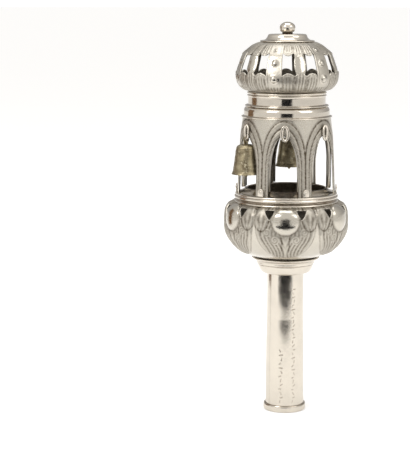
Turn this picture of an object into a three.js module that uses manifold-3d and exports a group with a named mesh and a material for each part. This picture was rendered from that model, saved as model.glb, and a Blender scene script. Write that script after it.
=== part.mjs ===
/*
 * Torah finial (rimmon), one of a pair, in raised and chased silver sheet.
 * From the foot up: a tapered socket tube that slips over a scroll roller, a collar cup,
 * a chased bulb, a moulded gallery ring, an open lantern of six arches with bell hangers,
 * two plain bands, a pierced dome, a stepped cap and a round knop. Two bells are left.
 *
 * Millimetres, +Z up, origin at the centre of the foot. An azimuth of 0 is the front (-Y)
 * and 90 is +X. Soldered neighbours keep a joint gap of 0.3 mm.
 */
import * as THREE from 'three';
import { mergeVertices } from 'three/addons/utils/BufferGeometryUtils.js';
import Module from 'manifold-3d';

const wasm = await Module();
wasm.setup();

// ---- driving dimensions -------------------------------------------------------------------

const JOINT_GAP = 0.3;
const SHEET = 1.0;                 // wall of the raised and rolled silver sheet
const ROUND = 20;                  // facets around the turned pieces

// height of the underside of each piece above the foot
const LEVEL = {
  stem: 0, collar: 99.8, bulb: 111.3, gallery: 149.7, lantern: 156.95,
  lowerBand: 209.5, upperBand: 217.2, dome: 227.5, cap: 261.4, knop: 266.9,
};
const TOTAL_HEIGHT = 275;

// The lantern: azimuths of its six pillars, set out by hand and so not quite even.
const PILLARS = [26.5, 90, 152.5, 207.5, 270, 333.5];
const PILLAR_HALF_ANGLE = 8.1;
const LANTERN_HEIGHT = 52.2;
const BORDER_PROUD = 0.35;         // chased border above the plain spandrels
const REVEAL_DEPTH = 3.2;          // sheet turned in around each arch
const REVEAL_FOOT = 3.4;           // clear of the rising floor of the gallery
const ARCH_SPRING = 14.5;
const ARCH_RISE = 27;
const BORDER_SPRING = 26;
const BORDER_RISE = 26;

// Bell hangers: slotted ovals on the crowns of the arches.
const HANGER_AZIMUTHS = { front: 1.5, right: 57, right_back: 121.2, back: 180, left_back: 238.8, left: 306.5 };
const HANGER_HEIGHT = 200.3;
const HANGER_RADIUS = 32.5;
const HANGER_THICK = 1.2;
const BELLS = ['left', 'back'];

const BULB_BAYS = 6;
const BULB_TURN = 0;
const DOME_BAYS = 6;
const DOME_TURN = -11.4;           // azimuth of the first strap of the dome

// ---- finishes -----------------------------------------------------------------------------

const silver = () => new THREE.MeshStandardMaterial({ color: 0xcfc9bc, roughness: 0.28, metalness: 1 });
const chasedSilver = () => new THREE.MeshStandardMaterial({ color: 0xb3ab9a, roughness: 0.5, metalness: 1 });
const wornGilt = () => new THREE.MeshStandardMaterial({ color: 0x8c7c58, roughness: 0.48, metalness: 1 });

// ---- turning, cutting and joining ---------------------------------------------------------

const radians = THREE.MathUtils.degToRad;

/** Turn a profile of [radius, height] pairs about Z. It ends on the axis or closes on itself. */
function turned(profile, facets) {
  const points = profile.map(([r, z]) => new THREE.Vector2(r, z));
  return new THREE.LatheGeometry(points, facets).rotateX(Math.PI / 2);
}

/** Smooth profile through a few [radius, height] pairs. */
function smooth(pairs, steps) {
  const curve = new THREE.SplineCurve(pairs.map(([r, z]) => new THREE.Vector2(r, z)));
  return curve.getPoints(steps).map((p) => [p.x, p.y]);
}

/** Move an upward profile sideways: outwards by a positive distance, inwards by a negative one. */
function offset(profile, distance) {
  return profile.map(([r, z], i) => {
    const [r0, z0] = profile[Math.max(i - 1, 0)];
    const [r1, z1] = profile[Math.min(i + 1, profile.length - 1)];
    const length = Math.hypot(r1 - r0, z1 - z0);
    return [r + distance * (z1 - z0) / length, z - distance * (r1 - r0) / length];
  });
}

/** Closed section of a sheet wall: up the outside and down the inside, at every other point. */
function sheetSection(outside, wall = SHEET) {
  const last = outside.length - 1;
  const inside = offset(outside, -wall).filter((_, i) => i % 2 === 0 || i === last);
  return [...outside, ...inside.reverse(), outside[0]];
}

/** Geometry to solid. */
function solid(geometry) {
  const bare = geometry.clone();
  bare.deleteAttribute('normal');
  bare.deleteAttribute('uv');
  const merged = mergeVertices(bare, 1e-4);
  return new wasm.Manifold(new wasm.Mesh({
    numProp: 3,
    vertProperties: new Float32Array(merged.attributes.position.array),
    triVerts: new Uint32Array(merged.index.array),
  }));
}

/** Solid back to geometry. */
function surface(body) {
  const mesh = body.getMesh();
  const geometry = new THREE.BufferGeometry();
  geometry.setAttribute('position', new THREE.BufferAttribute(mesh.vertProperties, 3));
  geometry.setIndex(new THREE.BufferAttribute(mesh.triVerts, 1));
  geometry.computeVertexNormals();
  return geometry;
}

/**
 * A block bent around the axis: the shape's x is an angle in degrees from the azimuth,
 * its y a height, and it reaches from one radius to the other.
 */
function wrapped(shape, azimuth, innerRadius, outerRadius, curveSegments = 7) {
  const block = new THREE.ExtrudeGeometry(shape, { depth: 1, bevelEnabled: false, curveSegments });
  const place = block.attributes.position;
  for (let i = 0; i < place.count; i += 1) {
    const angle = radians(azimuth + place.getX(i));
    const radius = THREE.MathUtils.lerp(innerRadius, outerRadius, place.getZ(i));
    place.setXYZ(i, radius * Math.sin(angle), -radius * Math.cos(angle), place.getY(i));
  }
  return solid(block);
}

/** Round-headed outline, centred on x = 0, open ended below. */
function archShape(halfAngle, bottom, spring, rise) {
  const shape = new THREE.Shape();
  shape.moveTo(halfAngle, bottom);
  shape.lineTo(halfAngle, spring);
  shape.absellipse(0, spring, halfAngle, rise, 0, Math.PI, false);
  shape.lineTo(-halfAngle, bottom);
  return shape;
}

function piece(name, geometry, material, height = 0) {
  const mesh = new THREE.Mesh(geometry, material);
  mesh.name = name;
  mesh.position.z = height;
  return mesh;
}

const sum = (solids) => solids.reduce((total, next) => total.add(next));

// ---- stem: socket tube, foot ring and collar ----------------------------------------------

const STEM_OUTSIDE = [[13.7, 0], [13.7, 30], [13.05, 67], [13.05, 99.5]];
const STEM_WALL = 1.1;

function stemTube() {
  return turned(sheetSection(STEM_OUTSIDE, STEM_WALL), ROUND);
}

/** Half-round wire around the mouth of the tube, which stands on it. */
function footRing() {
  const inner = STEM_OUTSIDE[0][0] + JOINT_GAP;
  const outer = 15.1;
  const tall = 4.8;
  return turned([
    [inner, 0], [outer - 0.4, 0], [outer, tall * 0.25], [outer, tall * 0.7], [outer - 0.4, tall], [inner, tall],
    [inner, 0],
  ], ROUND);
}

/** Small cup with a necking and a thin lip that carries the bulb. */
function stemCollar() {
  const bore = STEM_OUTSIDE.at(-1)[0] - STEM_WALL;
  return turned([
    [bore, 0], [16.4, 0], [18.4, 2.4], [19.6, 5.6], [21.2, 9.4], [24, 10.2], [24, 11.2],
    [20.2, 11.2], [18.4, 6], [15.8, SHEET], [bore, SHEET], [bore, 0],
  ], ROUND);
}

// ---- bulb ---------------------------------------------------------------------------------

const BULB_OUTSIDE = smooth([
  [21, 0.1], [26, 1.4], [34.3, 5.7], [40.4, 13], [43.3, 19.5], [43.6, 27], [42.6, 33.4], [40.2, 37], [35.4, 37.9],
], 9);
const BULB_FACETS = 40;
const SHIELD = { foot: 4, head: 30, widest: 28, proud: 0.8 };
const BOSS = { height: 30.2, halfWidth: 8.8, halfTall: 8.6, sunk: 39.6, depth: 7.4 };
const LEAF_TIP = { away: 22.5, height: 33, reach: 6, proud: 1.1 };
const PIERCING = [[11.4, 37.2], [14.6, 32.6], [19, 37.2]];

/** How far the chased leaf stands up: a shield under each boss and two curled tips between. */
function leafRelief(azimuth, height) {
  const bay = 360 / BULB_BAYS;
  const away = Math.abs(azimuth - BULB_TURN - bay * Math.round((azimuth - BULB_TURN) / bay));
  const rise = THREE.MathUtils.clamp((height - SHIELD.foot) / (SHIELD.head - SHIELD.foot), 0, 1);
  const halfAngle = SHIELD.widest * Math.sin(rise * Math.PI / 2) ** 0.6;
  const shield = rise > 0 && away < halfAngle ? SHIELD.proud : 0;
  const fromTip = Math.hypot((away - LEAF_TIP.away) / 6, (height - LEAF_TIP.height) / LEAF_TIP.reach);
  return Math.max(shield, LEAF_TIP.proud * (1 - fromTip));
}

/** Raise the outside of a turned shape along its normals by a relief in azimuth and height. */
function chased(geometry, relief) {
  const place = geometry.attributes.position;
  const out = geometry.attributes.normal;
  for (let i = 0; i < place.count; i += 1) {
    const [x, y, z] = [place.getX(i), place.getY(i), place.getZ(i)];
    const proud = relief(THREE.MathUtils.radToDeg(Math.atan2(x, -y)), z);
    place.setXYZ(i, x + proud * out.getX(i), y + proud * out.getY(i), z + proud * out.getZ(i));
  }
  return geometry;
}

function bulbBowl() {
  const rim = BULB_OUTSIDE.at(-1);
  const foot = BULB_OUTSIDE[0];
  const mass = solid(chased(turned([[0, foot[1]], ...BULB_OUTSIDE, [0, rim[1]]], BULB_FACETS), leafRelief));
  const inside = offset(BULB_OUTSIDE, -SHEET).filter((_, i) => i % 2 === 0 || i === BULB_OUTSIDE.length - 1);
  const hollow = solid(turned([
    [0, foot[1] - 1], [inside[0][0], foot[1] - 1], ...inside, [inside.at(-1)[0], rim[1] + 1], [0, rim[1] + 1],
  ], ROUND));
  const bosses = [];
  const piercings = [];
  for (let bay = 0; bay < BULB_BAYS; bay += 1) {
    const azimuth = BULB_TURN + bay * 360 / BULB_BAYS;
    const boss = new THREE.SphereGeometry(1, 10, 6).scale(BOSS.halfWidth, BOSS.depth, BOSS.halfTall);
    bosses.push(solid(boss.translate(0, -BOSS.sunk, BOSS.height).rotateZ(radians(azimuth))));
    for (const side of [-1, 1]) {
      const corner = new THREE.Shape(PIERCING.map(([x, z]) => new THREE.Vector2(side * x, z)));
      piercings.push(wrapped(corner, azimuth, 30, 52));
    }
  }
  return surface(mass.add(sum(bosses)).subtract(hollow).subtract(sum(piercings)));
}

// ---- gallery ring -------------------------------------------------------------------------

/** Two beads with a groove between, and a floor that rises to a raised lip around the well. */
function galleryRing() {
  return turned([
    [34, 0], [36, 0.5], [36.1, 1.9], [34.9, 2.7], [36.4, 3.9], [36.3, 6], [35.4, 6.95],
    [33, 6.95], [28.2, 10.2], [27.4, 9.5], [32.4, 5.6], [33.2, 3], [34, 0],
  ], ROUND);
}

// ---- lantern ------------------------------------------------------------------------------

const LANTERN_OUTSIDE = [[33.85, 0], [32.85, 23], [31.75, 43], [30.7, LANTERN_HEIGHT]];

/** Centre and half-angle of each bay between two pillars. */
const BAYS = PILLARS.map((pillar, i) => {
  const before = i ? PILLARS[i - 1] : PILLARS.at(-1) - 360;
  return { azimuth: (before + pillar) / 2, half: (pillar - before) / 2 };
});

function lantern() {
  const wall = solid(turned(sheetSection(LANTERN_OUTSIDE), ROUND));
  const proud = offset(LANTERN_OUTSIDE, BORDER_PROUD);
  const sunk = offset(LANTERN_OUTSIDE, -SHEET / 2);
  const raised = solid(turned([...proud, ...sunk.reverse(), proud[0]], ROUND));
  const borders = [];
  const reveals = [];
  const openings = [];
  const lip = 1.8;
  for (const { azimuth, half } of BAYS) {
    const opening = half - PILLAR_HALF_ANGLE;
    const border = archShape(half + 0.1, -1, BORDER_SPRING, BORDER_RISE);
    borders.push(wrapped(border, azimuth, 26, 40, 4));
    const reveal = archShape(opening + lip, REVEAL_FOOT, ARCH_SPRING, ARCH_RISE + 1);
    reveals.push(wrapped(reveal, azimuth, 31.6 - REVEAL_DEPTH, 31.4, 4));
    openings.push(wrapped(archShape(opening, -2, ARCH_SPRING, ARCH_RISE), azimuth, 24, 42, 4));
  }
  const body = wall.add(raised.intersect(sum(borders))).add(sum(reveals));
  return surface(body.subtract(sum(openings)));
}

/** Round-topped tab with a rivet head that pins a pillar's foot to the gallery ring. */
function footTab(azimuth) {
  const inner = 34.55;
  return surface(wrapped(archShape(3.8, 0, 3.2, 2.3), azimuth, inner, inner + 0.8, 3));
}

/** Slotted oval on the crown of an arch. */
function bellHanger() {
  const slotEnd = 3.1;
  const slotHalfWidth = 0.95;
  const slot = new THREE.Path();
  slot.absarc(0, slotEnd, slotHalfWidth, 0, Math.PI, false);
  slot.absarc(0, -slotEnd, slotHalfWidth, Math.PI, 2 * Math.PI, false);
  const shape = new THREE.Shape();
  shape.absellipse(0, 0, 3.35, 5.7, 0, Math.PI, false);
  shape.absellipse(0, 0, 3.35, 5.7, Math.PI, 2 * Math.PI, false);
  shape.holes.push(slot);
  const oval = new THREE.ExtrudeGeometry(shape, { depth: HANGER_THICK, bevelEnabled: false, curveSegments: 3 });
  return oval.rotateX(Math.PI / 2).translate(0, -HANGER_RADIUS, 0);
}

// ---- bells --------------------------------------------------------------------------------

const BELL_RADIUS = 10.1;
const BELL_HEIGHT = 20.8;
const BELL_RIM = 171.2;
const WIRE = 0.42;

/** Open-mouthed bell with a crown loop, standing on its rim at the origin. */
function bell() {
  const wall = 0.9;
  const outside = [
    [BELL_RADIUS, 0], [9, 2.6], [7.7, 12], [7, 17.6], [5.8, 20], [0, BELL_HEIGHT],
  ];
  const inside = [[0, BELL_HEIGHT - wall], [5.1, 19.2], [7.9, 2.6], [BELL_RADIUS - wall, 0]];
  const cup = solid(turned([...inside, ...outside], 12));
  const loop = new THREE.TorusGeometry(1.6, WIRE, 4, 9).rotateX(Math.PI / 2);
  return surface(cup.add(solid(loop.translate(0, 0, BELL_HEIGHT + 0.55))));
}

/** Wire with a ball at its end, hanging free inside the bell. */
function clapper() {
  const ball = 1.2;
  const drop = -1;
  return turned([
    [0, drop - ball], [ball * 0.87, drop - ball / 2], [ball * 0.87, drop + ball / 2], [0.4, drop + ball],
    [0.4, 18.8], [0, 18.8],
  ], 8);
}

/** Wire ring between the hanger and the crown loop. */
function bellLink() {
  return new THREE.TorusGeometry(1.95, WIRE, 4, 9).rotateY(Math.PI / 2);
}

// ---- bands, dome, cap and knop ------------------------------------------------------------

function lowerBand() {
  return turned([
    [29, 0], [31.6, 0], [31.6, 0.9], [30, 1.3], [30, 5], [29.3, 6.6], [27.6, 7.4],
    [27.6, 6.4], [28.8, 4.8], [29, 0],
  ], ROUND);
}

function upperBand() {
  return turned([
    [26, 0], [29.2, 0], [29.2, 0.8], [27, 1.2], [27, 6.6], [27.6, 7.6], [27.6, 9.4], [27, 10],
    [26, 10], [26, 0],
  ], ROUND);
}

const DOME_OUTSIDE = smooth([
  [27, 0.1], [32.2, 3], [35.2, 7.4], [35.6, 11.6], [33.6, 19], [31.9, 23.8], [28.2, 28.2], [22.6, 32.4], [17.6, 33.5],
], 7);
const WINDOW = { bottom: 12, top: 26.4, strap: 21, petal: 7, scallop: 2 };

/** One light of a dome window, between a strap (outer edge) and the petal bar in its middle. */
function lightShape(side) {
  const { bottom, top, strap, petal, scallop } = WINDOW;
  const middle = (bottom + top) / 2;
  const crest = (strap + petal) / 2;
  const shape = new THREE.Shape();
  const x = (value) => side * value;
  shape.moveTo(x(strap), bottom);
  shape.lineTo(x(strap), top);
  shape.quadraticCurveTo(x(crest), top - 2 * scallop, x(petal - 3), top);
  shape.quadraticCurveTo(x(petal + 3.4), middle, x(petal - 2), bottom);
  shape.quadraticCurveTo(x(crest), bottom + 2 * scallop, x(strap), bottom);
  return shape;
}

function dome() {
  const cup = solid(turned(sheetSection(DOME_OUTSIDE), ROUND));
  const step = 360 / DOME_BAYS;
  const lights = [];
  const beads = [];
  for (let bay = 0; bay < DOME_BAYS; bay += 1) {
    const strap = DOME_TURN + bay * step;
    lights.push(wrapped(lightShape(1), strap + step / 2, 20, 42, 2));
    lights.push(wrapped(lightShape(-1), strap + step / 2, 20, 42, 2));
    for (const { height, radius, bead } of [
      { height: 9.4, radius: 34.6, bead: 2.3 },
    ]) {
      const ball = new THREE.SphereGeometry(bead, 5, 4).translate(0, -radius, height);
      beads.push(solid(ball.rotateZ(radians(strap))));
    }
  }
  return surface(cup.subtract(sum(lights)).add(sum(beads)));
}

/** Stepped cap over the crown of the dome. */
function capPlate() {
  return turned([
    [0, 4.2], [12, 4.2], [14, 0.9], [17.4, 0],
    [19, 0.3], [19, 0.9], [15, 1.8], [13, 4.9], [12.4, 5.2], [0, 5.2],
  ], ROUND);
}

/** Round knop on a short neck. */
function knop() {
  const top = TOTAL_HEIGHT - LEVEL.knop;
  const neck = 3.65;
  return turned([
    [0, 0], [neck, 0], [neck, 1.9], [5.1, 2.4], [5.5, 4], [4.7, 6.2], [2.7, top - 0.5], [0, top],
  ], 12);
}

// ---- assembly -----------------------------------------------------------------------------

const finial = new THREE.Group();
finial.add(piece('stem_tube', stemTube(), silver(), LEVEL.stem));
finial.add(piece('foot_ring', footRing(), silver(), LEVEL.stem));
finial.add(piece('stem_collar', stemCollar(), silver(), LEVEL.collar));
finial.add(piece('bulb_bowl', bulbBowl(), chasedSilver(), LEVEL.bulb));
finial.add(piece('gallery_ring', galleryRing(), silver(), LEVEL.gallery));
finial.add(piece('lantern_arcade', lantern(), chasedSilver(), LEVEL.lantern));
finial.add(piece('lower_band', lowerBand(), silver(), LEVEL.lowerBand));
finial.add(piece('upper_band', upperBand(), silver(), LEVEL.upperBand));
finial.add(piece('pierced_dome', dome(), chasedSilver(), LEVEL.dome));
finial.add(piece('cap_plate', capPlate(), silver(), LEVEL.cap));
finial.add(piece('top_knop', knop(), silver(), LEVEL.knop));

PILLARS.forEach((azimuth, i) => {
  finial.add(piece(`foot_tab_${i + 1}`, footTab(azimuth), silver(), LEVEL.lantern));
});

for (const [place, azimuth] of Object.entries(HANGER_AZIMUTHS)) {
  const bay = new THREE.Group();
  bay.rotation.z = radians(azimuth);
  bay.add(piece(`bell_hanger_${place}`, bellHanger(), silver(), HANGER_HEIGHT));
  if (BELLS.includes(place)) {
    const hang = new THREE.Group();
    hang.position.y = -(HANGER_RADIUS + HANGER_THICK / 2);
    hang.add(piece(`bell_link_${place}`, bellLink(), wornGilt(), BELL_RIM + 23.85));
    hang.add(piece(`bell_${place}`, bell(), wornGilt(), BELL_RIM));
    hang.add(piece(`bell_clapper_${place}`, clapper(), wornGilt(), BELL_RIM));
    bay.add(hang);
  }
  finial.add(bay);
}

export default finial;
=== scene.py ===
"""Torah finial in chased and polished silver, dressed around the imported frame.

Pieces are turned by spinning a section, chased by raising its skin, and pierced by cutting.
Sections and reliefs are in millimetres and degrees; an azimuth of 0 is the front arch.
"""
import math

import bmesh
import bpy
from mathutils import Euler, Matrix, Vector, noise
from mathutils.geometry import interpolate_bezier


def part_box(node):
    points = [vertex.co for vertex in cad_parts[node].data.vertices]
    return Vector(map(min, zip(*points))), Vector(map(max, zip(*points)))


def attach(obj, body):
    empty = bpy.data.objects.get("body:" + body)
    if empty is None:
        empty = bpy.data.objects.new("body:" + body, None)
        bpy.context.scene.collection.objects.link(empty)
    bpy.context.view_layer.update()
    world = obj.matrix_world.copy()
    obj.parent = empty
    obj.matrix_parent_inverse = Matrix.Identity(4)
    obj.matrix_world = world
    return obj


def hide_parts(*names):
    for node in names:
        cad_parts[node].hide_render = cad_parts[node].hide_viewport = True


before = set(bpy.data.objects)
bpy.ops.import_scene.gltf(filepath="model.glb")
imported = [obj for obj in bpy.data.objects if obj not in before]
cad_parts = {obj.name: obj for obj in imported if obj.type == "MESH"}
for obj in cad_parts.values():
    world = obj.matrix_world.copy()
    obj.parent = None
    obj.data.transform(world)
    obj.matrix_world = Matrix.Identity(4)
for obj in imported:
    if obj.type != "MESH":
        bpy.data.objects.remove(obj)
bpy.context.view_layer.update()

MM = 0.001
FULL_TURN = 2 * math.pi
SHEET = 0.9


# ---- camera -------------------------------------------------------------------------------

def add_camera():
    """Slightly above the lantern, a metre away, with the finial right of the middle."""
    around, beside, away, height, tilt = 3.5, 3.1, 1.0545, 0.295, 9.11
    data = bpy.data.cameras.new("camera")
    data.lens = 115.9
    data.sensor_width = 36
    camera = bpy.data.objects.new("camera", data)
    bpy.context.collection.objects.link(camera)
    angle = math.radians(around)
    camera.location = (away * math.sin(angle), -away * math.cos(angle), height)
    camera.rotation_euler = Euler((math.radians(90 - tilt), 0, math.radians(around + beside)))
    bpy.context.scene.camera = camera


add_camera()


# ---- measures from the frame --------------------------------------------------------------

HEIGHTS = {node: [corner[2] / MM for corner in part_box(node)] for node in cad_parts}


def foot(node):
    return HEIGHTS[node][0]


def top(node):
    return HEIGHTS[node][1]


def on_turn(angle):
    """Angle brought to between -180 and 180 degrees."""
    return (angle + 180) % 360 - 180


def from_nearest(azimuth, first, count):
    """Signed angle from the nearest of several evenly spaced azimuths."""
    step = 360 / count
    return on_turn(azimuth - first - step * round((azimuth - first) / step))


def blend(low, high, value):
    """Smooth step from 0 at low to 1 at high."""
    t = min(max((value - low) / (high - low), 0), 1)
    return t * t * (3 - 2 * t)


def ridge(distance, half_width):
    """Rounded ridge, 1 on its line and 0 beyond its half width."""
    t = min(abs(distance) / half_width, 1)
    return (1 - t * t) ** 2


# ---- making pieces ------------------------------------------------------------------------

def stepped(points, step):
    """Straight run through the points with a point at every step."""
    run = [points[0]]
    for (r0, z0), (r1, z1) in zip(points, points[1:]):
        count = max(1, round(math.hypot(r1 - r0, z1 - z0) / step))
        for i in range(1, count + 1):
            run.append((r0 + (r1 - r0) * i / count, z0 + (z1 - z0) * i / count))
    return run


def smooth(points, step):
    """Smooth curve through the points with a point at about every step."""
    knots = [Vector(p) for p in points]
    knots = [knots[0]] + knots + [knots[-1]]
    run = [tuple(points[0])]
    for a, b, c, d in zip(knots, knots[1:], knots[2:], knots[3:]):
        count = max(2, round((c - b).length / step) + 1)
        bends = interpolate_bezier(b, b + (c - a) / 6, c - (d - b) / 6, c, count)
        run += [(p.x, p.y) for p in bends[1:]]
    return run


def inset_wall(outside, wall, keep):
    """The inside of a wall, from every few points of its outside."""
    last = len(outside) - 1
    inner = []
    for i, (r, z) in enumerate(outside):
        if i % keep and i != last:
            continue
        r0, z0 = outside[max(i - 2, 0)]
        r1, z1 = outside[min(i + 2, last)]
        length = math.hypot(r1 - r0, z1 - z0)
        inner.append((r - wall * (z1 - z0) / length, z + wall * (r1 - r0) / length))
    return inner


def piece_from(bm, name, finish, shade_smooth=True):
    bm.normal_update()
    mesh = bpy.data.meshes.new(name)
    bm.to_mesh(mesh)
    bm.free()
    mesh.materials.append(finish)
    if shade_smooth:
        mesh.shade_smooth()
    else:
        mesh.shade_flat()
    made = bpy.data.objects.new(name, mesh)
    bpy.context.collection.objects.link(made)
    return made


def spun(outside, inside=(), steps=240, relief=None):
    """Spin a section about Z. The relief gives raise, darkening (patina and painted shade) and polish of
    the outer skin.
    """
    bm = bmesh.new()
    skin = bm.verts.layers.float.new("skin")
    patina_and_shade = bm.verts.layers.float.new("patina_and_shade")
    polish = bm.verts.layers.float.new("polish")
    section = []
    for part, is_skin in ((outside, 1), (reversed(inside), 0)):
        for r, z in part:
            vert = bm.verts.new((0, -r * MM, z * MM))
            vert[skin] = is_skin
            section.append(vert)
    edges = [bm.edges.new(pair) for pair in zip(section, section[1:])]
    if inside:
        edges.append(bm.edges.new((section[-1], section[0])))
    bmesh.ops.spin(bm, geom=section + edges, axis=(0, 0, 1), cent=(0, 0, 0), angle=FULL_TURN,
                   steps=steps, use_merge=True)
    bmesh.ops.remove_doubles(bm, verts=bm.verts, dist=0.001 * MM)
    bmesh.ops.recalc_face_normals(bm, faces=bm.faces)
    bm.normal_update()
    if relief:
        moves = []
        for vert in bm.verts:
            if vert[skin] < 0.5:
                # The whole inner skin is darkened by 0.55.
                vert[patina_and_shade] = 0.55
                continue
            azimuth = math.degrees(math.atan2(vert.co.x, -vert.co.y))
            rise, depth, shine = relief(azimuth, vert.co.z / MM)
            vert[patina_and_shade] = depth
            vert[polish] = shine
            moves.append((vert, vert.normal * rise * MM))
        for vert, move in moves:
            vert.co += move
    return bm


def wrapped_block(outline, azimuth, inner, outer):
    """A block bent round the axis from an outline of angles and heights."""
    bm = bmesh.new()
    face = bm.faces.new([bm.verts.new((angle, 0, z)) for angle, z in outline])
    made = bmesh.ops.extrude_face_region(bm, geom=[face])
    far = {v for v in made["geom"] if isinstance(v, bmesh.types.BMVert)}
    for vert in bm.verts:
        radius = outer if vert in far else inner
        angle = math.radians(azimuth + vert.co.x)
        vert.co = (radius * math.sin(angle) * MM, -radius * math.cos(angle) * MM, vert.co.z * MM)
    bmesh.ops.recalc_face_normals(bm, faces=bm.faces)
    return bm


def merged(blocks, name, finish):
    """Several closed blocks in one object."""
    total = bmesh.new()
    for bm in blocks:
        holder = bpy.data.meshes.new("block")
        bm.to_mesh(holder)
        bm.free()
        total.from_mesh(holder)
        bpy.data.meshes.remove(holder)
    return piece_from(total, name, finish)


def carve(piece, tools, operation, finish):
    """Cut or join the piece with closed tools, and keep the result as its mesh."""
    tool = merged(tools, "tool", finish)
    step = piece.modifiers.new("carve", "BOOLEAN")
    step.operation = operation
    step.solver = "EXACT"
    step.object = tool
    depsgraph = bpy.context.evaluated_depsgraph_get()
    result = bpy.data.meshes.new_from_object(piece.evaluated_get(depsgraph))
    piece.modifiers.clear()
    piece.data = result
    bpy.data.objects.remove(tool)


def arch_outline(half_angle, bottom, spring, rise, count=28):
    """Round-headed outline in angles and heights."""
    outline = [(half_angle, bottom)]
    for i in range(count + 1):
        turn = math.pi * i / count
        outline.append((half_angle * math.cos(turn), spring + rise * math.sin(turn)))
    outline.append((-half_angle, bottom))
    return outline


# ---- finishes -----------------------------------------------------------------------------

class Nodes:
    """A material's node tree with short calls for adding and joining nodes."""

    def __init__(self, name):
        self.material = bpy.data.materials.new(name)
        self.material.use_nodes = True
        self.tree = self.material.node_tree
        self.shader = self.tree.nodes["Principled BSDF"]
        self.coords = self.add("ShaderNodeTexCoord").outputs["Object"]

    def add(self, kind, **settings):
        node = self.tree.nodes.new(kind)
        for key, value in settings.items():
            setattr(node, key, value)
        return node

    def link(self, source, target):
        self.tree.links.new(source, target)

    def noise(self, scale, detail=4, roughness=0.55, stretch=(1, 1, 1)):
        mapping = self.add("ShaderNodeMapping")
        mapping.inputs["Scale"].default_value = stretch
        self.link(self.coords, mapping.inputs["Vector"])
        node = self.add("ShaderNodeTexNoise")
        node.inputs["Scale"].default_value = scale
        node.inputs["Detail"].default_value = detail
        node.inputs["Roughness"].default_value = roughness
        self.link(mapping.outputs["Vector"], node.inputs["Vector"])
        return node.outputs["Fac"]

    def ranged(self, value, from_low, from_high, to_low, to_high):
        node = self.add("ShaderNodeMapRange")
        for name, number in (("From Min", from_low), ("From Max", from_high),
                             ("To Min", to_low), ("To Max", to_high)):
            node.inputs[name].default_value = number
        self.link(value, node.inputs["Value"])
        return node.outputs["Result"]

    def attribute(self, name):
        return self.add("ShaderNodeAttribute", attribute_name=name).outputs["Fac"]

    def sum(self, first, second, operation="ADD"):
        node = self.add("ShaderNodeMath", operation=operation)
        node.use_clamp = True
        self.link(first, node.inputs[0])
        self.link(second, node.inputs[1])
        return node.outputs[0]

    def mix(self, factor, first, second):
        node = self.add("ShaderNodeMix", data_type="RGBA")
        self.link(factor, node.inputs["Factor"])
        for socket, value in ((node.inputs["A"], first), (node.inputs["B"], second)):
            if isinstance(value, tuple):
                socket.default_value = (*value, 1)
            else:
                self.link(value, socket)
        return node.outputs["Result"]

    def bump(self, height, strength, distance):
        node = self.add("ShaderNodeBump")
        node.inputs["Strength"].default_value = strength
        node.inputs["Distance"].default_value = distance
        self.link(height, node.inputs["Height"])
        self.link(node.outputs["Normal"], self.shader.inputs["Normal"])


def silver_finish(name, clean, patina_shade_colour, smooth_rough, matt_rough, grain):
    """Silver: bright where polished, matt where chased, browned by patina in the recesses, darkened with
    painted shade at creases, edges and under the knop's ball, and browned all over the inner skin.
    """
    n = Nodes(name)
    n.shader.inputs["Metallic"].default_value = 1
    cloud = n.ranged(n.noise(120, 5, 0.6), 0.42, 0.68, 0, 0.35)
    film = n.mix(cloud, clean, tuple(c * 0.82 for c in clean))
    patina_and_shade = n.attribute("patina_and_shade")
    patchy = n.sum(patina_and_shade, n.ranged(n.noise(700, 3), 0.3, 0.7, 0.55, 1.25), "MULTIPLY")
    # Mix towards the dark colour: patina in the chased recesses, plus painted shade wherever a relief adds
    # it.
    n.link(n.mix(patchy, film, patina_shade_colour), n.shader.inputs["Base Color"])
    matt = n.sum(n.ranged(n.attribute("polish"), 0, 1, matt_rough, smooth_rough),
                 n.ranged(n.noise(260, 4), 0.3, 0.7, -0.03, 0.05))
    n.link(n.sum(matt, n.ranged(patina_and_shade, 0, 1, 0, 0.25)), n.shader.inputs["Roughness"])
    n.bump(n.noise(900, 4, 0.6), grain, 0.0002)
    return n.material


def gilt_finish():
    """Cast bell metal with most of its gilding rubbed brown."""
    n = Nodes("worn_gilt")
    n.shader.inputs["Metallic"].default_value = 1
    blotch = n.ranged(n.noise(190, 6, 0.65), 0.38, 0.64, 0, 1)
    gold = n.mix(blotch, (0.36, 0.31, 0.20), (0.15, 0.12, 0.075))
    speck = n.ranged(n.noise(520, 4, 0.6), 0.56, 0.66, 0, 1)
    n.link(n.mix(speck, gold, (0.50, 0.45, 0.32)), n.shader.inputs["Base Color"])
    n.link(n.ranged(blotch, 0, 1, 0.30, 0.52), n.shader.inputs["Roughness"])
    n.bump(n.noise(480, 5, 0.65), 0.5, 0.0004)
    return n.material


# The second colour of each is the dark of the patina, and it also paints shade.
PLAIN = silver_finish("plain_silver", (0.61, 0.56, 0.485), (0.15, 0.105, 0.065), 0.12, 0.24, 0.06)
CHASED = silver_finish("chased_silver", (0.53, 0.495, 0.43), (0.085, 0.066, 0.045), 0.15, 0.40, 0.4)
GILT = gilt_finish()


# ---- stem ---------------------------------------------------------------------------------

def uneven(azimuth, z, amount, scale=0.05):
    """Slight waviness of sheet worked by hand."""
    angle = math.radians(azimuth)
    return amount * noise.noise(Vector((math.cos(angle) * 1.3, math.sin(angle) * 1.3, z * scale)))


STEM_RADIUS = 13.4
SEAM = -11.5                              # along the tube's girth from the front
STROKE_COLUMNS = ((7.0, 8, 90, 2.9), (-2.0, 8, 48, 3.1))    # across, lowest, highest, pitch


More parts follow.
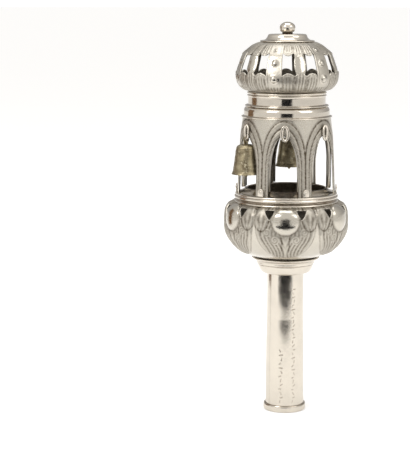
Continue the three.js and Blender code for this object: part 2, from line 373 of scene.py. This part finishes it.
def stem_tube():
    base = foot("stem_tube")
    outside = stepped([(13.7, base + 0.2), (13.7, 30), (13.4, 50), (13.05, 67),
                       (13.05, top("stem_collar") - 11)], 0.45)
    strokes = stroke_rows()

    def relief(azimuth, z):
        across = math.radians(azimuth) * STEM_RADIUS
        depth = 0
        for x, y, length, lean in strokes:
            if abs(y - z) > 3 or abs(x - across) > 3:
                continue
            along = (z - y) * math.cos(lean) + (across - x) * math.sin(lean)
            beside = (across - x) * math.cos(lean) - (z - y) * math.sin(lean)
            end = max(abs(along) - length / 2, 0)
            depth = max(depth, ridge(math.hypot(beside, end), 0.42))
        seam = ridge(across - SEAM, 0.3)
        rise = uneven(azimuth, z, 0.12) - 0.16 * depth - 0.05 * seam
        return rise, 0.75 * depth + 0.4 * seam, 0.9 - 0.5 * depth

    bm = spun(outside, inset_wall(outside, 1.1, 12), 200, relief)
    return piece_from(bm, "stem_tube_dressed", PLAIN)


def stroke_rows():
    """Two columns of shallow punched strokes: (across, height, length, lean), no letters."""
    leans = (0.2, 1.35, -0.5, 1.57, 0.9)
    shifts = (-0.5, 0.6, 0.1)
    rows = []
    for column, low, high, pitch in STROKE_COLUMNS:
        for turn in range(math.ceil((high - low) / pitch)):
            length = 1.5 + 0.4 * (turn % 3)
            rows.append((column + shifts[turn % 3], low + pitch * turn, length, leans[turn % 5]))
    return rows


def foot_ring():
    inner, outer, tall = 13.75, 15.0, 4.8
    outside = smooth([(inner, 0.25), (outer - 0.5, 0.25), (outer, 1.0), (outer + 0.05, 2.4),
                      (outer, 3.8), (outer - 0.5, tall - 0.02), (inner, tall)], 0.3)
    inside = [(inner - 0.1, 0.4), (inner - 0.1, tall - 0.4)]

    def relief(azimuth, z):
        # Painted shade along the top millimetre, where the tube stands in the ring.
        return uneven(azimuth, z, 0.06), 0.5 * blend(tall - 1, tall, z), 0.8

    return piece_from(spun(outside, inside, 160, relief), "foot_ring_dressed", PLAIN)


def stem_collar():
    base = foot("stem_collar")
    outside = smooth([(11.9, base - 0.3), (13.4, base - 0.3), (16.2, base), (17.6, base + 0.9),
                      (18.7, base + 2.7), (19.4, base + 4.7), (19.7, base + 5.9)], 0.35)
    outside += smooth([(19.9, base + 6.3), (20.6, base + 6.9), (20.7, base + 8.1), (21.4, base + 9.3),
                       (23.4, base + 10), (23.95, base + 10.5), (23.9, base + 11.15)], 0.35)
    inside = [(11.9, base + 0.7), (16.0, base + 1), (18.2, base + 5), (19.4, base + 8),
              (20.4, base + 11.15)]

    def relief(azimuth, z):
        groove = ridge(z - base - 6.1, 0.5)
        # Darkening: patina in the groove, and painted shade in the band under the flange.
        shade = 0.7 * groove + 0.3 * ridge(z - base - 9, 1.3)
        return uneven(azimuth, z, 0.06) - 0.15 * groove, shade, 0.95

    return piece_from(spun(outside, inside, 180, relief), "stem_collar_dressed", PLAIN)


# ---- bulb ---------------------------------------------------------------------------------

BULB_BAYS = 6
BULB_TURN = 3.2
BOSS_HEIGHT = 30.2
BOSS_RADIUS = 9.3
BOSS_PROUD = 3.5
SHIELD_FOOT = 4
SHIELD_TALL = 26
SHIELD_HALF = 28.3
CHASING = 0.62                            # how far the chased work stands out
PIERCING = ((10.6, 37.3), (11.6, 34.8), (14.3, 31.2), (15.4, 31.2), (18.8, 34.8), (20.2, 37.3))


def scrolled(arc, up, leaf, patina_and_shade):
    """Two spiral scrolls below the boss, worked over the leaf."""
    for x, y, size in ((7.2, 17.6, 3.6), (12.6, 22.6, 3.4)):
        dx, dy = arc - x, up - y
        reach = math.hypot(dx, dy)
        if reach < size:
            spiral = math.cos(reach * 3.6 - math.atan2(dy, dx))
            edge = blend(size, size - 0.8, reach)
            leaf = leaf * (1 - edge) + edge * (0.9 + 0.3 * spiral)
            patina_and_shade = patina_and_shade * (1 - edge) + edge * 0.55 * (0.5 - 0.5 * spiral)
    return leaf, patina_and_shade


def vased(arc, up, leaf, patina_and_shade):
    """A small vase up the middle of the shield."""
    stalk = ridge(arc, 2.2 - 0.12 * min(abs(up - 15), 8)) * blend(5, 8, up) * blend(21.5, 20, up)
    outline = ridge(arc - 2.6, 0.8) * blend(8, 10, up) * blend(21, 19, up)
    return leaf + 0.5 * stalk, patina_and_shade * (1 - 0.7 * stalk) + 0.5 * outline


def tipped(side, up, leaf, patina_and_shade, shine):
    """A curled leaf tip between two bosses."""
    tip_x, tip_y = side - 22.6, up - 31.6
    tip = math.hypot(tip_x / 6.6, tip_y / 7.6)
    if tip >= 1.25:
        return leaf, patina_and_shade, shine
    lobe = blend(1.05, 0.75, tip)
    curl = 0.5 + 0.5 * math.cos(tip * 9)
    fold = 0.5 + 0.5 * math.cos(9 * math.atan2(tip_x, tip_y + 9))
    leaf = max(leaf * 0.8, lobe * (0.5 + 0.25 * curl + 0.3 * fold))
    carved = lobe * (0.3 * (1 - curl) + 0.5 * (1 - fold))
    patina_and_shade = patina_and_shade * (1 - lobe) + carved + 0.6 * ridge(tip - 1.12, 0.13)
    return leaf, patina_and_shade, shine * (1 - 0.7 * lobe)


def bossed(arc, up, leaf, patina_and_shade, shine):
    """A round polished boss with a groove around it."""
    reach = math.hypot(arc, up - BOSS_HEIGHT)
    if reach >= BOSS_RADIUS + 1.2:
        return leaf, patina_and_shade, shine
    if reach >= BOSS_RADIUS:
        return leaf, max(patina_and_shade, 0.8 * ridge(reach - BOSS_RADIUS - 0.5, 0.8)), shine
    dome = math.sqrt(1 - (reach / BOSS_RADIUS) ** 2)
    # Painted shade round the boss's steep edge.
    return max(BOSS_PROUD * dome, 0.35), 0.5 * blend(0.86, 1, reach / BOSS_RADIUS), 1.0


def bulb_relief(azimuth, z):
    """Chased leaf shields under polished bosses, curled tips between, plain ground below."""
    up = z - foot("bulb_bowl")
    side = abs(from_nearest(azimuth, BULB_TURN, BULB_BAYS))
    arc = 0.74 * side                       # millimetres along the widest part
    leaf, patina_and_shade, shine = 0, 0, 0.85
    if up > SHIELD_FOOT:
        rise = min((up - SHIELD_FOOT) / SHIELD_TALL, 1)
        to_edge = SHIELD_HALF * (1 - (1 - rise) ** 2) ** 0.3 - side
        inside = blend(0, 1.6, to_edge)
        rim = ridge(to_edge - 1.4, 1.3)
        veins = 0.5 + 0.5 * math.cos(2 * math.pi * (side / 3.6 + 0.9 * math.sin(up * 0.22)))
        leaf = inside * (0.55 + 0.35 * veins) + 0.35 * rim
        patina_and_shade = inside * (0.62 * (1 - veins) + 0.1) * (1 - rim) + 0.55 * ridge(to_edge + 0.4, 1.0)
        shine = 0.85 * (1 - inside)
    leaf, patina_and_shade = scrolled(arc, up, leaf, patina_and_shade)
    leaf, patina_and_shade = vased(arc, up, leaf, patina_and_shade)
    leaf, patina_and_shade, shine = tipped(side, up, leaf, patina_and_shade, shine)
    leaf, patina_and_shade, shine = bossed(arc, up, leaf, patina_and_shade, shine)
    return CHASING * leaf, min(patina_and_shade, 1), shine


def bulb_bowl():
    base = foot("bulb_bowl")
    outside = smooth([(20.6, base - 0.1), (25.6, base + 1.2), (29.9, base + 3), (33.8, base + 5.4),
                      (37.9, base + 9.6), (41.2, base + 14.5), (42.8, base + 19.5),
                      (43.2, base + 25.5), (42.9, base + 30), (42.3, base + 34), (40.2, base + 37),
                      (37.6, base + 38), (34.9, base + 38.1)], 0.55)
    bm = spun(outside, inset_wall(outside, SHEET, 8), 420, bulb_relief)
    piece = piece_from(bm, "bulb_bowl_dressed", CHASED)
    cutters = []
    for bay in range(BULB_BAYS):
        for side in (-1, 1):
            corner = [(side * angle, base + up) for angle, up in PIERCING]
            cutters.append(wrapped_block(corner, BULB_TURN + bay * 360 / BULB_BAYS, 30, 52))
    carve(piece, cutters, "DIFFERENCE", CHASED)
    return piece


# ---- gallery ring -------------------------------------------------------------------------

def gallery_ring():
    base = foot("gallery_ring")
    outside = smooth([(34.0, base - 0.2), (35.6, base + 0.1), (36.2, base + 0.9), (35.7, base + 1.8)], 0.3)
    outside += smooth([(34.7, base + 2.2), (34.8, base + 2.8), (36.0, base + 3.2), (36.45, base + 4.2),
                       (36.1, base + 5.2)], 0.3)
    outside += smooth([(35.6, base + 5.5), (35.8, base + 6.0), (35.7, base + 6.6), (35.1, base + 6.95),
                       (33.4, base + 7.0)], 0.3)
    outside += stepped([(32.8, base + 7.1), (28.4, base + 10.1)], 0.5)
    outside += smooth([(28.1, base + 10.3), (27.7, base + 10.2), (27.4, base + 9.8)], 0.3)
    inside = [(34.0, base + 0.4), (33.6, base + 4), (32.6, base + 6), (27.6, base + 9.2)]

    def relief(azimuth, z):
        up = z - base
        groove = max(ridge(up - 2.1, 0.75), ridge(up - 5.4, 0.45))
        # Darkening: patina in the grooves, and painted shade on the upper slope under the lantern.
        return uneven(azimuth, z, 0.1, 0.2) - 0.1 * groove, 0.85 * groove + 0.25 * blend(6.9, 8, up), 0.9

    return piece_from(spun(outside, inside, 240, relief), "gallery_ring_dressed", PLAIN)


# ---- lantern ------------------------------------------------------------------------------

PILLARS = [26.5, 90, 152.5, 207.5, 270, 333.5]
PILLAR_HALF = 8.1
ARCH_SPRING, ARCH_RISE = 14.5, 27
BORDER_SPRING, BORDER_RISE = 26, 26


def bays():
    """Azimuth and half angle of each bay between two pillars."""
    for before, after in zip([PILLARS[-1] - 360] + PILLARS, PILLARS):
        yield (before + after) / 2, (after - before) / 2


BAYS = list(bays())


def nearest_bay(azimuth):
    best = min(BAYS, key=lambda bay: abs(on_turn(azimuth - bay[0])) / bay[1])
    return on_turn(azimuth - best[0]), best[1]


def arch_level(side, up, half, spring, rise):
    """1 on a round-headed arch, less inside it and more outside."""
    if up < spring:
        return side / half
    return math.hypot(side / half, (up - spring) / rise)


def lantern_relief(azimuth, z):
    up = z - foot("lantern_arcade")
    away, half = nearest_bay(azimuth)
    side = abs(away)
    inner = arch_level(side, up, half - PILLAR_HALF, ARCH_SPRING, ARCH_RISE) - 1
    outer = arch_level(side, up, half + 0.2, BORDER_SPRING, BORDER_RISE)
    if outer > 1:
        edge = ridge((outer - 1) * 14, 1)
        return -0.25 - 0.05 * edge + uneven(azimuth, z, 0.08, 0.08), 0.6 * edge, 0.55
    across = max(inner, 0) / max(max(inner, 0) + 1 - outer, 1e-6)
    along = up + 0.35 * side
    rope = 0.5 + 0.5 * math.cos(2 * math.pi * (along / 1.9 + across * 1.2))
    bead = ridge(across - 0.24, 0.2)
    grooves = max(ridge(across - 0.97, 0.09), ridge(across - 0.5, 0.08), ridge(across - 0.03, 0.06))
    hatch = 0.5 + 0.5 * math.cos(2 * math.pi * (up / 1.15 - side * 0.22))
    # Painted shade in the troughs of the rope and the hatching, added to patina in the grooves and an
    # overall dull tone.
    if across < 0.5:
        work, shade = 0.10 * rope, 0.3 * (1 - rope)
    else:
        work, shade = 0.07 * hatch, 0.28 * (1 - hatch)
    rise = 0.12 * bead + work - 0.22 * grooves
    patina_and_shade = 0.8 * grooves + shade
    return 1.3 * rise, min(1.25 * patina_and_shade + 0.16, 1), 0.15


def lantern_arcade():
    base = foot("lantern_arcade")
    outside = stepped([(34.1, base - 0.25), (33.75, base + 6), (33.1, base + 23), (32.1, base + 43),
                       (31.0, base + 52.5)], 0.5)
    bm = spun(outside, inset_wall(outside, SHEET, 12), 400, lantern_relief)
    piece = piece_from(bm, "lantern_arcade_dressed", CHASED)
    reveals = []
    openings = []
    spring = base + ARCH_SPRING
    for azimuth, half in BAYS:
        opening = half - PILLAR_HALF
        turned_in = arch_outline(opening + 1.6, base + 3.4, spring, ARCH_RISE + 0.9)
        reveals.append(wrapped_block(turned_in, azimuth, 28.6, 31.3))
        light = arch_outline(opening, base - 2, spring, ARCH_RISE)
        openings.append(wrapped_block(light, azimuth, 24, 44))
    carve(piece, reveals, "UNION", CHASED)
    carve(piece, openings, "DIFFERENCE", CHASED)
    return piece


# ---- bands --------------------------------------------------------------------------------

def lower_band():
    base = foot("lower_band")
    outside = smooth([(29, base - 0.3), (31.2, base - 0.2), (31.6, base + 0.2), (31.5, base + 0.7),
                      (30.4, base + 1.0)], 0.3)
    outside += stepped([(30.05, base + 1.2), (30.0, base + 4.4)], 0.4)
    outside += smooth([(29.9, base + 4.9), (29.5, base + 6.0), (28.7, base + 6.9), (27.6, base + 7.5)], 0.3)
    inside = [(28.7, base), (28.7, base + 4.8), (27.2, base + 6.8)]

    def relief(azimuth, z):
        return uneven(azimuth, z, 0.12, 0.1), 0.6 * ridge(z - base - 1.1, 0.45), 1.0

    return piece_from(spun(outside, inside, 240, relief), "lower_band_dressed", PLAIN)


def upper_band():
    base = foot("upper_band")
    outside = smooth([(26, base - 0.2), (28.8, base - 0.1), (29.2, base + 0.25), (29.0, base + 0.65),
                      (27.6, base + 0.95)], 0.3)
    outside += stepped([(27.1, base + 1.1), (27.0, base + 6.4)], 0.4)
    outside += smooth([(27.5, base + 6.9), (27.6, base + 7.5), (27.1, base + 8.1), (27.6, base + 8.7),
                       (27.7, base + 9.3), (27.2, base + 9.8), (26.4, base + 10.2)], 0.25)
    inside = [(25.6, base), (25.6, base + 10)]

    def relief(azimuth, z):
        up = z - base
        groove = max(ridge(up - 1.05, 0.45), ridge(up - 8.1, 0.4), ridge(up - 6.5, 0.3))
        return uneven(azimuth, z, 0.12, 0.1), 0.6 * groove, 1.0

    return piece_from(spun(outside, inside, 240, relief), "upper_band_dressed", PLAIN)


# ---- dome ---------------------------------------------------------------------------------

DOME_BAYS = 6
DOME_TURN = -11.4
STRAP_HALF = 9.0
WINDOW_BOTTOM, WINDOW_TOP = 12.0, 26.4
TONGUES = 3


def petal_half(up):
    """Half angle of the petal bar in the middle of a window."""
    middle = (WINDOW_BOTTOM + WINDOW_TOP) / 2 + 0.6
    t = (up - middle) / 9.4
    return 7.0 * max(1 - t * t, 0) ** 0.6


def scallop_edge(across, low):
    """Height of the scalloped edge of a border at an angle from the window's middle."""
    t = abs((across / (42 / TONGUES) + 0.5) % 1 - 0.5) * 2
    bulge = 2.1 * (1 - t * t)
    return WINDOW_BOTTOM - 0.4 + bulge if low else WINDOW_TOP + 0.6 - bulge


def dome_relief(azimuth, z):
    up = z - foot("pierced_dome")
    strap = from_nearest(azimuth, DOME_TURN, DOME_BAYS)
    if abs(strap) < STRAP_HALF and up > 4:
        return strap_relief(strap, up)
    across = from_nearest(azimuth, DOME_TURN + 180 / DOME_BAYS, DOME_BAYS)
    low, high = scallop_edge(across, True), scallop_edge(across, False)
    if low < up < high:
        half = petal_half(up)
        bulge = max(1 - (across / max(half, 0.1)) ** 2, 0)
        # Painted shade along the petal bar's edges.
        return 0.7 * bulge, 0.35 * (bulge < 0.12), 1.0
    tongue = (across / (42 / TONGUES) + 0.5) % 1 - 0.5
    edge = low - up if up <= low else up - high
    rim = ridge(edge - 0.55, 0.5)
    double = ridge(edge - 2.0, 0.5)
    flute = 0.5 + 0.5 * math.cos(2 * math.pi * tongue * 4)
    valley = ridge(abs(tongue) - 0.5, 0.1) if abs(strap) < 30 else 0
    fade = blend(0.2, 1.6, up) * blend(33.2, 31, up)
    rise = (0.32 * flute + 0.3 * rim + 0.15 * double - 0.3 * valley) * fade
    # Painted shade in the flute troughs, the valleys between tongues and the line between the rims.
    shade = 0.55 * (1 - flute) * blend(2, 3.5, edge) + 0.5 * valley + 0.4 * ridge(edge - 1.3, 0.35)
    patina_and_shade = shade * fade
    return rise, min(patina_and_shade + 0.1, 1), 0.2


def strap_relief(across, up):
    """Matt strap with thin raised edges and ringed beads."""
    to_edge = abs(across) - STRAP_HALF
    rise = 0.25 * ridge(to_edge + 1.0, 0.8)
    patina_and_shade = 0.12 + 0.3 * ridge(to_edge + 2.2, 0.7)
    shine = 0.35
    for height, size, radius in ((28.6, 1.0, 28.3), (20.1, 1.8, 33.2), (9.4, 2.4, 35.4)):
        reach = math.hypot(math.radians(across) * radius, (up - height) * 1.03)
        if reach < size + 1.2:
            ball = math.sqrt(max(1 - (reach / size) ** 2, 0))
            ring = ridge(reach - size - 0.45, 0.45)
            rise = max(rise * 0.3, 0.85 * size * ball * 0.6, 0.25 * ring)
            patina_and_shade = 0.75 * ridge(reach - size, 0.4)
            shine = 1.0 if ball else 0.6
    return rise, patina_and_shade, shine


def light_outline(side):
    """One light of a window, from the strap to the petal bar, in angles and heights."""
    strap_edge = 180 / DOME_BAYS - STRAP_HALF
    bar_low = petal_half(WINDOW_BOTTOM) + 1.2
    bar_high = petal_half(WINDOW_TOP) + 1.4
    outline = []
    steps = 10
    for i in range(steps + 1):
        angle = strap_edge + (bar_low - strap_edge) * i / steps
        outline.append((angle, scallop_edge(angle, True)))
    for i in range(1, steps):
        up = WINDOW_BOTTOM + 1 + (WINDOW_TOP - WINDOW_BOTTOM - 1.4) * i / steps
        outline.append((petal_half(up), up))
    for i in range(steps + 1):
        angle = bar_high + (strap_edge - bar_high) * i / steps
        outline.append((angle, scallop_edge(angle, False)))
    base = foot("pierced_dome")
    return [(side * angle, base + up) for angle, up in outline]


def pierced_dome():
    base = foot("pierced_dome")
    outside = smooth([(26.8, base - 0.1), (29.9, base + 0.9), (32.9, base + 3.4), (34.8, base + 6.6),
                      (35.5, base + 11), (34.8, base + 15), (33.4, base + 19), (32.0, base + 23),
                      (30.4, base + 26.0), (27.4, base + 28.8), (24.0, base + 31.4),
                      (20.9, base + 33.0), (17.8, base + 33.7)], 0.5)
    bm = spun(outside, inset_wall(outside, SHEET, 8), 372, dome_relief)
    piece = piece_from(bm, "pierced_dome_dressed", CHASED)
    lights = []
    for bay in range(DOME_BAYS):
        middle = DOME_TURN + (bay + 0.5) * 360 / DOME_BAYS
        lights += [wrapped_block(light_outline(side), middle, 20, 44) for side in (-1, 1)]
    carve(piece, lights, "DIFFERENCE", CHASED)
    return piece


# ---- cap and knop -------------------------------------------------------------------------

def cap_plate():
    base = foot("cap_plate")
    outside = smooth([(17.2, base - 0.2), (18.6, base), (19.0, base + 0.45), (18.6, base + 0.9),
                      (16.6, base + 1.1), (15.2, base + 1.6), (14.6, base + 2.3), (13.9, base + 3.2),
                      (13.5, base + 4.2), (13.0, base + 4.9), (12.3, base + 5.2)], 0.3)
    outside += stepped([(11.8, base + 5.2), (0, base + 5.2)], 1.2)[1:]
    inside = [(16.9, base + 0.3), (14, base + 1.2), (12, base + 4.2), (0, base + 4.2)]

    def relief(azimuth, z):
        up = z - base
        return uneven(azimuth, z, 0.08, 0.2) * (up < 5.15), 0.5 * ridge(up - 1.25, 0.4), 0.85

    return piece_from(spun(outside, inside, 180, relief), "cap_plate_dressed", PLAIN)


def top_knop():
    base = foot("top_knop")
    crown = top("top_knop")
    middle = crown - 4.35
    outside = [(0, base - 0.2), (3.7, base - 0.2), (3.65, base + 1.6)]
    outside += smooth([(4.6, middle - 2.5), (5.3, middle - 1.2), (5.45, middle + 0.1),
                       (5.2, middle + 1.6), (4.1, middle + 3.0), (2.4, middle + 3.95),
                       (1.1, crown - 0.06)], 0.3)
    outside += [(0, crown)]

    def relief(azimuth, z):
        # Painted shade under the ball and down its neck.
        return 0, blend(middle - 2.0, middle - 3.0, z), 1.0

    return piece_from(spun(outside, (), 96, relief), "top_knop_dressed", PLAIN)


# ---- small fittings -----------------------------------------------------------------------

def turned_to(bm, azimuth, out, height):
    """Move a fitting made at the origin, facing the front, to its place."""
    spot = Matrix.Translation(Vector((0, -out, height)) * MM)
    place = Matrix.Rotation(math.radians(azimuth), 4, "Z") @ spot
    bmesh.ops.transform(bm, matrix=place, verts=bm.verts)


HANGER_OUT = 32.5


def bell_hanger(name, azimuth):
    """Oval plate with a raised rim around a slot."""
    low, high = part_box("bell_hanger_" + name)
    middle = (low[2] + high[2]) / 2 / MM
    bm = bmesh.new()
    rings = []
    for half_wide, half_tall, out in ((3.3, 5.65, 0.0), (3.35, 5.7, 0.7), (2.95, 5.3, 1.15),
                                      (2.1, 4.75, 1.1), (1.4, 4.2, 0.8), (0.9, 3.9, 0.5),
                                      (0.9, 3.9, 0.0)):
        ring = bmesh.ops.create_circle(bm, cap_ends=False, radius=1, segments=40)["verts"]
        for vert in ring:
            vert.co = Vector((vert.co.x * half_wide, -out, vert.co.y * half_tall)) * MM
        rings.append([e for e in bm.edges if e.verts[0] in ring and e.verts[1] in ring])
    for first, second in zip(rings, rings[1:] + rings[:1]):
        bmesh.ops.bridge_loops(bm, edges=first + second)
    bmesh.ops.recalc_face_normals(bm, faces=bm.faces)
    turned_to(bm, azimuth, HANGER_OUT, middle)
    return piece_from(bm, f"bell_hanger_{name}_dressed", PLAIN)


def foot_tab(number, azimuth):
    """Round-topped tab pinned by a domed rivet."""
    base = foot(f"foot_tab_{number}")
    bm = bmesh.new()
    outline = arch_outline(2.3, 0, 3.1, 2.3, 16)
    back, front = 34.5, 35.35
    face = bm.faces.new([bm.verts.new((x * MM, -back * MM, (base + z) * MM)) for x, z in outline])
    made = bmesh.ops.extrude_face_region(bm, geom=[face])
    bmesh.ops.translate(bm, vec=(0, (back - front) * MM, 0),
                        verts=[v for v in made["geom"] if isinstance(v, bmesh.types.BMVert)])
    bmesh.ops.recalc_face_normals(bm, faces=bm.faces)
    rim = [e for e in bm.edges if all(abs(v.co.y + front * MM) < 0.01 * MM for v in e.verts)]
    bmesh.ops.bevel(bm, geom=rim, offset=0.3 * MM, affect="EDGES", segments=2, profile=0.5,
                    material=-1)
    rivet = bmesh.ops.create_uvsphere(bm, u_segments=16, v_segments=8, radius=1.05 * MM)["verts"]
    spot = Matrix.Translation((0, -35.3 * MM, (base + 2.9) * MM))
    bmesh.ops.transform(bm, verts=rivet, matrix=spot @ Matrix.Diagonal((1, 0.45, 1, 1)))
    turned_to(bm, azimuth, 0, 0)
    return piece_from(bm, f"foot_tab_{number}_dressed", PLAIN)


def ring_wire(radius, wire, axis):
    """Closed round ring with its axis along X or Y, at the origin."""
    bm = bmesh.new()
    circle = bmesh.ops.create_circle(bm, cap_ends=False, radius=wire * MM, segments=12)["verts"]
    spot = Matrix.Translation((radius * MM, 0, 0)) @ Matrix.Rotation(math.pi / 2, 4, "X")
    bmesh.ops.transform(bm, matrix=spot, verts=circle)
    bmesh.ops.spin(bm, geom=list(bm.verts) + list(bm.edges), axis=(0, 0, 1), cent=(0, 0, 0),
                   angle=FULL_TURN, steps=32, use_merge=True)
    bmesh.ops.recalc_face_normals(bm, faces=bm.faces)
    lay = Matrix.Rotation(math.pi / 2, 4, "Y" if axis == "X" else "X")
    bmesh.ops.transform(bm, matrix=lay, verts=bm.verts)
    return bm


BELL_OUT = 33.1


def small_bell(name, azimuth):
    """Cast bell with turned lines, its crown loop, link and clapper: three pieces."""
    rim = foot("bell_" + name)
    outside = smooth([(10.1, rim), (9.75, rim + 0.9), (9.15, rim + 2.4), (8.7, rim + 5.2), (8.2, rim + 8.6),
                      (7.7, rim + 12.2), (7.3, rim + 15.6), (6.9, rim + 17.8), (6.1, rim + 19.3),
                      (4.4, rim + 20.3), (2.0, rim + 20.7), (0, rim + 20.75)], 0.35)
    inside = [(9.3, rim + 0.05), (7.9, rim + 5.3), (6.5, rim + 16.4), (5.2, rim + 19),
              (0, rim + 19.85)]

    def relief(angle, z):
        up = z - rim
        lines = max(ridge(up - 2.6, 0.35), ridge(up - 3.6, 0.35), ridge(up - 17.2, 0.4))
        return uneven(angle + 77 * len(name), z, 0.16, 0.35) - 0.14 * lines, lines, 0.5

    bm = spun(outside, inside, 120, relief)
    loop = ring_wire(1.6, 0.42, "Y")
    bmesh.ops.translate(loop, vec=(0, 0, (rim + 21.35) * MM), verts=loop.verts)
    turned_to(bm, azimuth, BELL_OUT, 0)
    turned_to(loop, azimuth, BELL_OUT, 0)
    bell = merged([bm, loop], f"bell_{name}_dressed", GILT)

    clapper_foot = foot("bell_clapper_" + name)
    clapper_top = top("bell_clapper_" + name)
    drop = [(0, clapper_foot)]
    drop += smooth([(0.7, clapper_foot + 0.2), (1.15, clapper_foot + 1.1),
                    (0.75, clapper_foot + 2.05), (0.38, clapper_foot + 2.5)], 0.2)
    drop += [(0.36, clapper_top - 0.3), (0, clapper_top)]
    bm = spun(drop, (), 24)
    turned_to(bm, azimuth, BELL_OUT, 0)
    clapper = piece_from(bm, f"bell_clapper_{name}_dressed", GILT)

    low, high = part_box("bell_link_" + name)
    link = ring_wire(1.95, 0.4, "X")
    turned_to(link, azimuth, BELL_OUT, (low[2] + high[2]) / 2 / MM)
    link = piece_from(link, f"bell_link_{name}_dressed", GILT)
    return {f"bell_{name}": bell, f"bell_clapper_{name}": clapper, f"bell_link_{name}": link}


# ---- assembly -----------------------------------------------------------------------------

HANGERS = {"front": 1.5, "right": 57, "right_back": 121.2, "back": 180, "left_back": 238.8,
           "left": 306.5}


def dress():
    """Every piece by the node that it stands for."""
    made = {
        "stem_tube": stem_tube(), "foot_ring": foot_ring(), "stem_collar": stem_collar(),
        "bulb_bowl": bulb_bowl(), "gallery_ring": gallery_ring(), "lantern_arcade": lantern_arcade(),
        "lower_band": lower_band(), "upper_band": upper_band(), "pierced_dome": pierced_dome(),
        "cap_plate": cap_plate(), "top_knop": top_knop(),
    }
    for number, azimuth in enumerate(PILLARS, 1):
        made[f"foot_tab_{number}"] = foot_tab(number, azimuth)
    for name, azimuth in HANGERS.items():
        made["bell_hanger_" + name] = bell_hanger(name, azimuth)
    for name in ("left", "back"):
        made.update(small_bell(name, HANGERS[name]))
    return made


for node, piece in dress().items():
    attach(piece, "root")
    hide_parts(node)


# ---- floor and light ----------------------------------------------------------------------

def flat_finish(name, colour, glow=0.0):
    n = Nodes(name)
    tint = n.mix(n.noise(3, 2), colour, tuple(c * 0.99 for c in colour))
    n.link(tint, n.shader.inputs["Base Color"])
    n.shader.inputs["Roughness"].default_value = 0.9
    n.shader.inputs["Specular IOR Level"].default_value = 0.0
    if glow:
        n.link(tint, n.shader.inputs["Emission Color"])
        n.shader.inputs["Emission Strength"].default_value = glow
    return n.material


def sheet_of(name, width, depth, place, turn, finish):
    """Flat studio sheet."""
    bm = bmesh.new()
    bmesh.ops.create_grid(bm, x_segments=1, y_segments=1, size=0.5)
    size = Matrix.Diagonal((width, depth, 1, 1))
    pose = Matrix.Translation(place) @ Euler(turn).to_matrix().to_4x4() @ size
    bmesh.ops.transform(bm, matrix=pose, verts=bm.verts)
    made = piece_from(bm, name, finish, False)
    return made


def only_reflected(*sheets):
    for made in sheets:
        made.visible_camera = False
        made.visible_diffuse = False
        made.visible_shadow = False
        made.visible_transmission = False


def add_sheets():
    """White floor, and dark and brown sheets that only show as reflections in the silver: painted
    reflections, the brown one glowing.
    """
    white = flat_finish("white_paper", (0.95, 0.95, 0.95), 0.2)
    # The dark and brown sheets are painted reflections; the brown one glows though it is no lamp.
    dark = flat_finish("painted_dark_reflection", (0.012, 0.012, 0.014))
    brown = flat_finish("painted_brown_reflection", (0.16, 0.10, 0.06), 0.25)
    upright = math.radians(90)
    facing = math.radians(3.5)
    sheet_of("floor", 60, 60, (0, 0, 0), (0, 0, 0), white)
    low_dark_card = sheet_of("dark_reflection_card_low", 0.74, 1.1, (0.05, -0.87, 0.0006), (0, 0, facing), dark)
    end = sheet_of("dark_reflection_card_far", 0.80, 0.34, (0.09, -1.42, 0.17), (upright, 0, facing), dark)
    side = sheet_of("glowing_brown_reflection_card", 0.16, 0.34, (-0.36, 0.10, 0.19), (upright, 0, math.radians(-110)),
                    brown)
    only_reflected(low_dark_card, end, side)


def add_room():
    """Even white light, dimmer behind, over a plain white ground."""
    world = bpy.data.worlds.new("studio")
    bpy.context.scene.world = world
    world.use_nodes = True
    tree = world.node_tree
    background = tree.nodes["Background"]
    coords = tree.nodes.new("ShaderNodeTexCoord")
    split = tree.nodes.new("ShaderNodeSeparateXYZ")
    tree.links.new(coords.outputs["Generated"], split.inputs["Vector"])
    lift = tree.nodes.new("ShaderNodeMath")
    lift.operation = "MULTIPLY_ADD"
    lift.inputs[1].default_value = 0.5
    lift.inputs[2].default_value = 0.5
    tree.links.new(split.outputs["Y"], lift.inputs[0])
    ramp = tree.nodes.new("ShaderNodeValToRGB")
    front, behind = ramp.color_ramp.elements
    front.position, front.color = 0.42, (1.0, 0.985, 0.96, 1)
    behind.position, behind.color = 0.9, (0.50, 0.49, 0.48, 1)
    tree.links.new(lift.outputs[0], ramp.inputs["Fac"])
    path = tree.nodes.new("ShaderNodeLightPath")
    seen = tree.nodes.new("ShaderNodeMix")
    seen.data_type = "RGBA"
    tree.links.new(path.outputs["Is Camera Ray"], seen.inputs["Factor"])
    tree.links.new(ramp.outputs["Color"], seen.inputs["A"])
    seen.inputs["B"].default_value = (1.1, 1.1, 1.1, 1)
    tree.links.new(seen.outputs["Result"], background.inputs["Color"])
    background.inputs["Strength"].default_value = 1.0


def add_lamps():
    """Soft square lamps, all aimed at the lantern's foot."""
    for name, place, size, power in (("key", (-0.75, -0.9, 1.05), 0.6, 7),
                                     ("fill", (0.9, -0.5, 0.9), 0.7, 3),
                                     ("crown", (0, 0.1, 1.4), 0.9, 6)):
        data = bpy.data.lights.new(name, "AREA")
        data.size = size
        data.energy = power
        lamp = bpy.data.objects.new(name, data)
        lamp.location = place
        aim = Vector((0, 0, 0.16)) - Vector(place)
        lamp.rotation_euler = aim.to_track_quat("-Z", "Y").to_euler()
        bpy.context.collection.objects.link(lamp)


add_sheets()
add_room()
add_lamps()
bpy.context.scene.view_settings.view_transform = "Standard"
